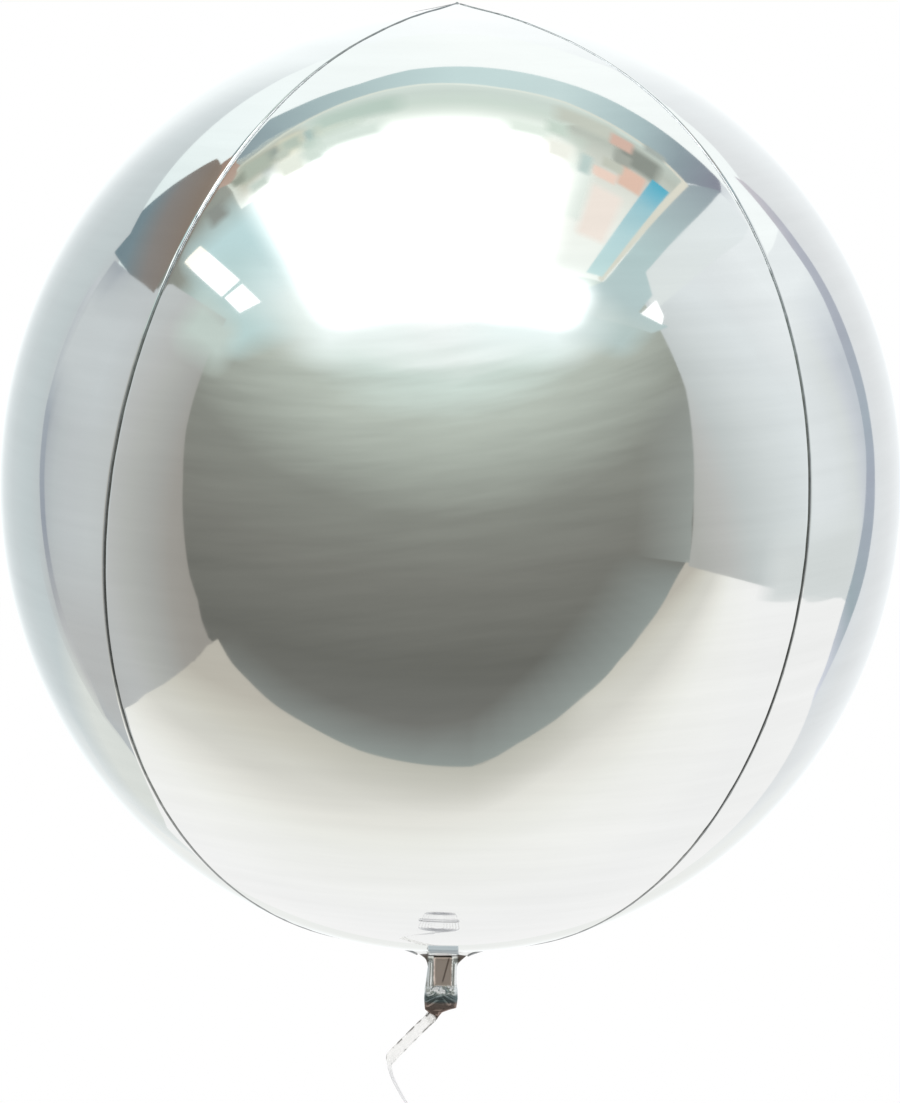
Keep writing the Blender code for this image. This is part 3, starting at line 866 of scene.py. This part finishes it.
light_sheet("tent_left_gap", behind(BACK_WALL - 0.02, (
    (-2.66, 1.19), (-2.57, 0.99), (-2.62, 0.77), (-2.66, 0.56), (-2.71, 0.36), (-2.72, 0.16), (-2.79, -0.03),
    (-2.83, -0.22), (-2.88, -0.42), (-2.91, -0.63), (-2.91, -0.84), (-2.89, -1.05), (-2.84, -1.26),
    (-2.83, -1.5), (-2.79, -1.75), (-2.65, -2.03), (-3.3, -2.1), (-3.5, -1.1), (-3.4, 0.2), (-3.1, 1.29))), [
    (0.0, "#CBC1C6"), (0.12, "#ABA7B1"), (0.3, "#90959F"), (0.5, "#989EA8"), (0.75, "#A3AAB1"),
    (1.0, "#C0C4C9")], along=(0, 0, 1), start=-2.05, end=1.2)
light_sheet("tent_right_wall", beside(RIGHT_WALL, (
    (-2.8, 5.2), (-2.82, 2.4), (-3.05, 1.36), (-3.23, 0.15), (-3.3, -0.9), (-3.33, -1.22), (-2.0, -1.34),
    (0.0, -1.55), (1.26, -1.61), (2.28, -1.68), (2.9, -1.74), (3.3, -2.3), (5.5, -2.3), (5.5, 5.2))), [
    (0.0, "#ABABA7"), (0.12, "#B7B7B5"), (0.23, "#BFC4C4"), (0.36, "#CED3D4"), (0.5, "#D9DEE0"),
    (0.62, "#DCE0E2"), (0.74, "#D9DDDF"), (0.85, "#D2D6D7"), (0.94, "#C7CBD1"), (1.0, "#C0C5CC")],
    along=(0, 0.95, 0.33), start=-3.2, end=3.6)
soft_lamp("right_wall_head", (RIGHT_WALL - 0.01, 3.4, 3.3), (2.4, 1.0), 1.3, "#E6EAEC", axes=BESIDE)
soft_lamp("left_wall_foot", (LEFT_WALL + 0.01, 1.0, -1.5), (0.5, 0.3), 0.7, "#B4B5B5", axes=BESIDE)
edge_glow("floor_dip", [point + Vector((0, 0, 0.005)) for point in FLOOR_EDGE[4:15]],
          [Vector((0, 0.5, 0))] * 11, [0.0, 0.3, 0.6, 0.75, 0.8, 0.8, 0.8, 0.75, 0.6, 0.3, 0.0], "#B4B2A8",
          power=1.0)
soft_lamp("left_wall_rear", (LEFT_WALL + 0.005, 1.2, 0.75), (0.5, 0.2), 0.4, "#C3C8CA", axes=BESIDE)
soft_lamp("left_wall_corner", (LEFT_WALL + 0.01, -0.95, 1.68), (0.25, 0.12), 0.35, "#BFCBC5", axes=BESIDE)
soft_lamp("right_wall_foot", (RIGHT_WALL - 0.01, 1.2, -1.3), (1.8, 0.25), 0.6, "#D0D4D4", axes=BESIDE)
# Back
light_sheet("tent_right_gap", behind(BACK_WALL - 0.01, (
    (1.98, 1.74), (2.22, 1.57), (2.33, 1.44), (2.42, 1.3), (2.46, 1.06), (2.52, 0.88), (2.63, 0.69),
    (2.67, 0.5), (2.67, 0.3), (2.68, 0.13), (2.71, -0.06), (2.8, -0.24), (2.92, -0.51), (3.03, -0.73),
    (3.11, -0.95), (3.16, -1.11), (3.14, -1.26), (3.05, -1.43), (2.85, -1.57), (2.75, -1.71), (2.56, -1.83),
    (2.56, -1.67), (2.6, -1.53), (2.6, -1.38), (2.58, -1.22), (2.52, -1.04), (2.45, -0.89), (2.39, -0.73),
    (2.37, -0.59), (2.34, -0.46), (2.32, -0.25), (2.28, -0.1), (2.26, 0.06), (2.23, 0.21), (2.21, 0.37),
    (2.18, 0.53), (2.14, 0.71), (2.12, 0.85), (2.1, 1.07), (2.05, 1.22), (1.97, 1.4), (1.93, 1.6))), [
    (0.0, "#D9DBE5"), (0.1, "#C4C8D2"), (0.22, "#9CA9B0"), (0.33, "#9FA8B2"), (0.45, "#A2A8B5"),
    (0.55, "#A2ACB6"), (0.7, "#A6ABB6"), (0.85, "#AFB2BD"), (1.0, "#C3BFC6")],
    along=(0, 0, 1), start=-1.8, end=1.65)
light_sheet("tent_back", behind(BACK_WALL, (
    (-6.0, -5.0), (2.5, -5.0), (2.5, -1.8), (2.66, -1.6), (2.8, -1.4), (2.8, -1.1), (2.65, -0.8),
    (2.55, -0.5), (2.45, -0.2), (2.4, 0.1), (2.4, 0.5), (2.3, 0.9), (2.25, 1.3), (2.0, 1.65), (1.6, 1.6),
    (-6.0, 1.6))), [
    (0.0, "#BABFC1"), (0.11, "#BDC5C7"), (0.2, "#C0C8CA"), (0.27, "#C4CBCD"), (0.32, "#CBD2D4"),
    (0.36, "#D5DBDD"), (0.425, "#ECF1F2"), (0.48, "#F3F7F8"), (0.54, "#F8FAFB"), (0.62, "#F3F6F7"),
    (0.69, "#E7EAEC"), (0.8, "#DDDFE1"), (0.88, "#D9DBDD"), (1.0, "#D6D9DD")],
    along=(1, 0, 0), start=-3.0, end=2.6, strength=1.15)
soft_lamp("tent_back_foot", (0.0, BACK_WALL - 0.03, -1.9), (0.9, 0.55), 0.5, "#E6E7E5", axes=BEHIND)
soft_lamp("tent_back_left_foot", (-2.1, BACK_WALL - 0.03, -2.1), (0.7, 0.45), 0.5, "#D6D9D5", axes=BEHIND)
# Roof and its beams
light_sheet("tent_roof", level(ROOF, (
    (-6.0, 2.1), (-2.27, 1.97), (-1.31, 1.75), (-0.76, 1.76), (-0.33, 1.92), (0.57, 1.99), (1.29, 2.07),
    (2.75, 1.99), (6.0, 2.6), (6.0, 9.0), (-6.0, 9.0))), [
    (0.0, "#DFEAEA"), (0.35, "#F2F8F8"), (0.6, "#F7FAF9"), (1.0, "#F4F8F8")],
    along=(1, 0, 0), start=-4.0, end=3.0, strength=1.13)
BEAM_FRONT = [(-1.88, 1.12), (-1.59, 1.17), (-1.26, 1.26), (-0.94, 1.33), (-0.58, 1.39), (-0.24, 1.41),
              (0.39, 1.36), (0.98, 1.4), (1.38, 1.34), (1.94, 1.26)]
light_sheet("tent_roof_beam", level(ROOF + 0.01, [
    (-2.3, 1.0), *BEAM_FRONT, (2.48, 1.1), (3.0, 1.7), (2.9, 2.3), (-2.5, 2.2)]), [
    (0.0, "#87949A"), (0.12, "#93A4A9"), (0.25, "#A9BCBE"), (0.45, "#C3D7D7"), (0.62, "#C4D6D6"),
    (0.78, "#A9BCBF"), (0.88, "#8E9CA3"), (1.0, "#858895")], along=(1, 0, 0), start=-2.3, end=2.9)
light_sheet("tent_side_beam", level(ROOF + 0.01, (
    (2.5, 1.08), (2.12, -1.65), (1.6, -2.35), (2.4, -2.5), (3.6, -2.3), (3.81, -1.92), (3.0, -1.97),
    (3.01, -1.47), (2.64, -1.11), (2.72, -0.4), (2.96, 1.22), (3.0, 1.77))), [
    (0.0, "#BCC9C6"), (0.15, "#B3C5C6"), (0.4, "#B3C8C9"), (0.65, "#A6B6B9"), (1.0, "#909AA2")],
    start=-2.5, end=1.7)
soft_lamp("side_beam_foot", (2.6, -2.7, ROOF + 0.02), (0.6, 0.25), 0.6, "#B5C5C3")
light_sheet("tent_wall_head", level(ROOF + 0.03, (
    (2.5, 1.6), (2.5, -1.2), (2.9, -1.6), (3.3, -1.7), (3.9, 1.8))), [
    (0.0, "#D9DEDD"), (1.0, "#E1E6E8")], start=-1.7, end=1.6)
light_sheet("tent_beam_edge", level(ROOF, [
    (-2.22, 0.97), *((x, y - BEAM_LIP) for x, y in BEAM_FRONT), (2.42, 1.06), (1.98, -1.66), (2.07, -1.7),
    (2.53, 1.1), *reversed(BEAM_FRONT), (-2.22, 1.02)]), [
    (0.0, "#CDD0C2"), (0.5, "#E3EAE2"), (0.85, "#D5D5C9"), (1.0, "#DDD9CB")],
    along=(1, 0, 0), start=-2.1, end=2.5)
# Canopy under the roof, with its soft patches
light_sheet("canopy_glow", level(ROOF + 0.02, (
    (-2.4, 0.2), (2.5, 0.2), (2.5, 1.4), (-2.4, 1.4))), [
    (0.0, "#F2F6EF"), (0.3, "#E3EAE2"), (0.6, "#CEDAD1"), (0.85, "#CBD6CF"), (1.0, "#D3DDD6")],
    start=0.3, end=1.35)
light_sheet("side_glow", level(ROOF + 0.015, (
    (0.7, 0.2), (0.8, -1.9), (2.1, -1.7), (2.5, 0.2), (2.5, 1.1), (1.4, 1.2), (1.0, 0.8))), [
    (0.0, "#F3F7F2"), (0.4, "#EBEDE6"), (0.6, "#DFE0D8"), (0.75, "#CCCFC6"), (0.9, "#B7BDB4"),
    (1.0, "#BFC7BF")], start=-1.6, end=1.1)
soft_lamp("teal_corner", (-3.9, -1.6, ROOF + 0.018), (0.6, 0.7), 0.8, "#B9D0CF")
soft_lamp("teal_glow", (-2.85, -0.85, ROOF + 0.02), (0.5, 0.75), 0.75, "#BCD6D8", power=0.9)
soft_patches("canopy_detail", ROOF + 0.01, (
    (-1.85, 0.72, 0.35, 0.28, 0.25, "#B9B8A9"), (-1.69, 0.86, 0.09, 0.09, 0.08, "#8F9994"),
    (-1.84, 0.52, 0.06, 0.1, 0.08, "#98A29C"), (-1.52, 0.8, 0.08, 0.2, 0.1, "#D9D8C4"),
    (-1.28, 0.55, 0.05, 0.4, 0.06, "#A9BDB8"), (-1.12, 0.8, 0.08, 0.15, 0.1, "#DDDDCB"),
    (-0.85, 1.0, 0.3, 0.08, 0.2, "#B9CAC0"), (-2.75, 0.5, 0.1, 0.14, 0.15, "#8E928D"),
    (1.2, 1.05, 0.22, 0.1, 0.15, "#C4C8BD"), (1.85, 0.8, 0.2, 0.16, 0.14, "#8C918A"),
    (1.6, 0.98, 0.1, 0.1, 0.06, "#D3B3A5"), (1.66, 0.62, 0.07, 0.12, 0.06, "#A3A79F"),
    (1.84, 0.33, 0.13, 0.16, 0.07, "#DFBDAC"), (1.58, 0.42, 0.1, 0.07, 0.05, "#C2C5B9"),
    (1.52, 0.17, 0.12, 0.07, 0.05, "#EBD0C2"), (1.62, -0.55, 0.14, 0.4, 0.12, "#EFE3DA"),
    (1.12, 0.35, 0.08, 0.28, 0.12, "#C4CDC3"), (1.3, -0.35, 0.05, 0.4, 0.1, "#DFE6DF")))
light_sheet("window_strip", level(ROOF - 0.001, (
    (2.06, 0.62), (2.33, 0.61), (2.03, -1.6), (1.77, -1.63))), [
    (0.0, "#C3DEDE"), (0.4, "#B4D2D6"), (0.72, "#9CC5CF"), (0.86, "#79B8CB"), (1.0, "#56ADC6")],
    start=-1.6, end=0.6)
light_sheet("valance_end", level(ROOF + 0.005, (
    (-2.35, 2.15), (-2.15, 1.04), (-2.3, 0.86), (-2.98, 1.0), (-4.12, 1.5), (-4.0, 2.6), (-2.81, 2.64))), [
    (0.0, "#B59F92"), (0.5, "#A08779"), (1.0, "#8C7F78")], start=0.9, end=2.4)
# Softbox
soft_lamp("softbox_halo", (-1.8, -2.6, ROOF - 0.005), (0.5, 0.6), 1.6, "#F0F8F6", power=1.6)
soft_lamp("softbox_halo_right", (1.3, -3.1, ROOF - 0.006), (0.5, 0.2), 1.3, "#EEF8F7", power=1.3)
soft_lamp("softbox", (-0.55, -1.22, ROOF - 0.01), (1.24, 1.30), 0.8, "#FFFFFF", strength=SOFTBOX, power=2.5)
soft_lamp("softbox_corner", (1.2, -2.4, ROOF - 0.02), (0.45, 0.2), 0.7, "#FFFFFF", strength=SOFTBOX,
          power=2.5)
soft_patches("canopy_front", ROOF - 0.03, (
    (-1.95, 0.8, 0.15, 0.12, 0.15, "#ADB6A9"), (-1.28, 0.58, 0.08, 0.1, 0.14, "#C3D2C8"),
    (-1.00, 0.7, 0.12, 0.06, 0.15, "#CDD9CE"), (-1.5, 0.85, 0.06, 0.08, 0.1, "#B4C0B4"),
    (-2.00, 0.42, 0.08, 0.05, 0.12, "#C4CFC6"), (-1.58, 0.42, 0.1, 0.12, 0.15, "#E7EBE0"),
    (-1.62, 0.72, 0.04, 0.05, 0.08, "#BFC7BB"), (-1.32, 0.42, 0.05, 0.08, 0.12, "#D2DED5"),
    (-0.92, 0.54, 0.22, 0.06, 0.18, "#D9E4DC"), (-2.2, 0.78, 0.05, 0.06, 0.08, "#949B8F"),
    (0.68, 0.52, 0.14, 0.06, 0.16, "#E4EDE4"), (0.93, 0.68, 0.05, 0.08, 0.1, "#C8D6CB"),
    (0.98, 0.28, 0.08, 0.1, 0.12, "#F0F0E7"), (1.27, 0.2, 0.03, 0.14, 0.07, "#BDCECA"),
    (1.96, 1.2, 0.1, 0.04, 0.08, "#A8AFAA")))
# Strip lamps
light_sheet("strip_lamp_left", beside(LEFT_WALL, (
    (0.12, 2.38), (-0.88, 2.51), (-0.81, 2.13), (0.1, 2.07))), [
    (0.0, "#FFFFFF"), (0.75, "#FFFFFF"), (0.85, "#F1ECE0"), (1.0, "#F1ECE0")],
    start=-0.8, end=0.1, strength=STRIP_LAMP)
light_sheet("strip_lamp_front", beside(LEFT_WALL, (
    (-0.96, 2.5), (-1.47, 2.55), (-1.24, 2.16), (-0.86, 2.15))), [
    (0.0, "#FFFFFF")], strength=STRIP_LAMP)
light_sheet("strip_lamp_right", level(ROOF, (
    (3.13, -1.51), (3.51, -1.74), (3.63, -1.96), (3.05, -1.98))), [
    (0.0, "#FFFFFF")], strength=1.4)


# Pale floor far below the balloon

FLOOR_LEVEL = -3.7
FLOOR_HALF_SIZE = 20.0

floor_finish, _, shade_floor = shader_of("pale_floor")
shade_floor(Base_Color=(1.0, 1.0, 1.0, 1.0), Roughness=1.0, Specular_IOR_Level=0.0)
bm = bmesh.new()
bmesh.ops.create_grid(bm, x_segments=1, y_segments=1, size=FLOOR_HALF_SIZE)
bmesh.ops.translate(bm, verts=bm.verts, vec=(0.0, 0.0, FLOOR_LEVEL))
floor = new_object("floor", bm, floor_finish)
floor.visible_glossy = False


# World: white behind the balloon. Past the tent the film sees a dim studio with the softbox's glow

GLOW_AZIMUTH = math.radians(-5)
GLOW_RISE = math.radians(62)

world = bpy.data.worlds.new("studio")
bpy.context.scene.world = world
world.use_nodes = True
world.node_tree.nodes.clear()
add_sky = partial(add_node, world.node_tree)
look = add_sky("TexCoord").outputs["Generated"]
glow_side = Vector((math.sin(GLOW_AZIMUTH) * math.cos(GLOW_RISE),
                    -math.cos(GLOW_AZIMUTH) * math.cos(GLOW_RISE), math.sin(GLOW_RISE)))
# the glow is a little narrower from left to right
narrowed = add_sky("VectorMath", operation="MULTIPLY", _0=look, _1=(1.06, 1.0, 1.0))
narrowed = add_sky("VectorMath", operation="NORMALIZE", _0=narrowed)
towards = add_sky("VectorMath", operation="DOT_PRODUCT", _0=narrowed, _1=glow_side)
# faint streaks, nearly level
streaks = add_sky("Mapping", vector_type="TEXTURE", Vector=look, Rotation=(0.0, math.radians(-8), 0.0),
                  Scale=(0.62, 0.62, 0.045))
streaks = add_sky("TexNoise", Vector=streaks, Scale=1.0, Detail=4.0, Roughness=0.6)
unevenness = add_sky("MapRange", Value=streaks, _1=0.2, _2=0.8, _3=-0.025, _4=0.025)
uneven = add_sky("Math", operation="ADD", _0=towards, _1=unevenness)
dim = add_sky("ValToRGB", Fac=add_sky("MapRange", Value=uneven, _1=-0.4, _2=1.0), stops=[
    (0.0, "#757571"), (0.2, "#6A6A65"), (0.45, "#7B7B75"), (0.62, "#888A83"), (0.82, "#B6BDB4"),
    (0.89, "#CEDBD4"), (0.955, "#F4F8F7"), (0.975, "#FFFFFF")])
brightness = add_sky("MapRange", Value=streaks, _1=0.2, _2=0.8, _3=1.04, _4=1.18)
studio = add_sky("Background", Color=dim, Strength=brightness)
white = add_sky("Background", Color=(1.0, 1.0, 1.0, 1.0), Strength=1.0)
in_film = add_sky("LightPath").outputs["Is Glossy Ray"]
add_sky("OutputWorld", Surface=add_sky("MixShader", _0=in_film, _1=white, _2=studio))


# Camera, at the photo's angle: 1.5 m away, a little above the balloon's middle

CAMERA_DISTANCE = 1.5
CAMERA_RISE = math.radians(8.44)
CAMERA_YAW = math.radians(1.19)
CAMERA_ROLL = math.radians(0.78)
AIM = Vector((0.15 * MM, 0.0, -28.5 * MM))
FOCAL_PIXELS = 3524.6  # focal length on a frame 1103 pixels high
FRAME_HEIGHT = 1103
SENSOR = 36.0

lens = bpy.data.cameras.new("camera")
lens.sensor_width = SENSOR
lens.lens = FOCAL_PIXELS / FRAME_HEIGHT * SENSOR
camera = bpy.data.objects.new("camera", lens)
bpy.context.scene.collection.objects.link(camera)
turn_back = Matrix.Rotation(-CAMERA_YAW, 3, "Z")
eye = turn_back @ Vector((0.0, -CAMERA_DISTANCE * math.cos(CAMERA_RISE),
                          CAMERA_DISTANCE * math.sin(CAMERA_RISE)))
forward = (turn_back @ AIM - eye).normalized()
right = forward.cross(Vector((0.0, 0.0, 1.0))).normalized()
up = right.cross(forward)
rolled_right = right * math.cos(CAMERA_ROLL) + up * math.sin(CAMERA_ROLL)
rolled_up = up * math.cos(CAMERA_ROLL) - right * math.sin(CAMERA_ROLL)
camera.matrix_world = Matrix((
    (rolled_right.x, rolled_up.x, -forward.x, eye.x),
    (rolled_right.y, rolled_up.y, -forward.y, eye.y),
    (rolled_right.z, rolled_up.z, -forward.z, eye.z),
    (0.0, 0.0, 0.0, 1.0)))
bpy.context.scene.camera = camera
bpy.context.scene.view_settings.view_transform = "Standard"
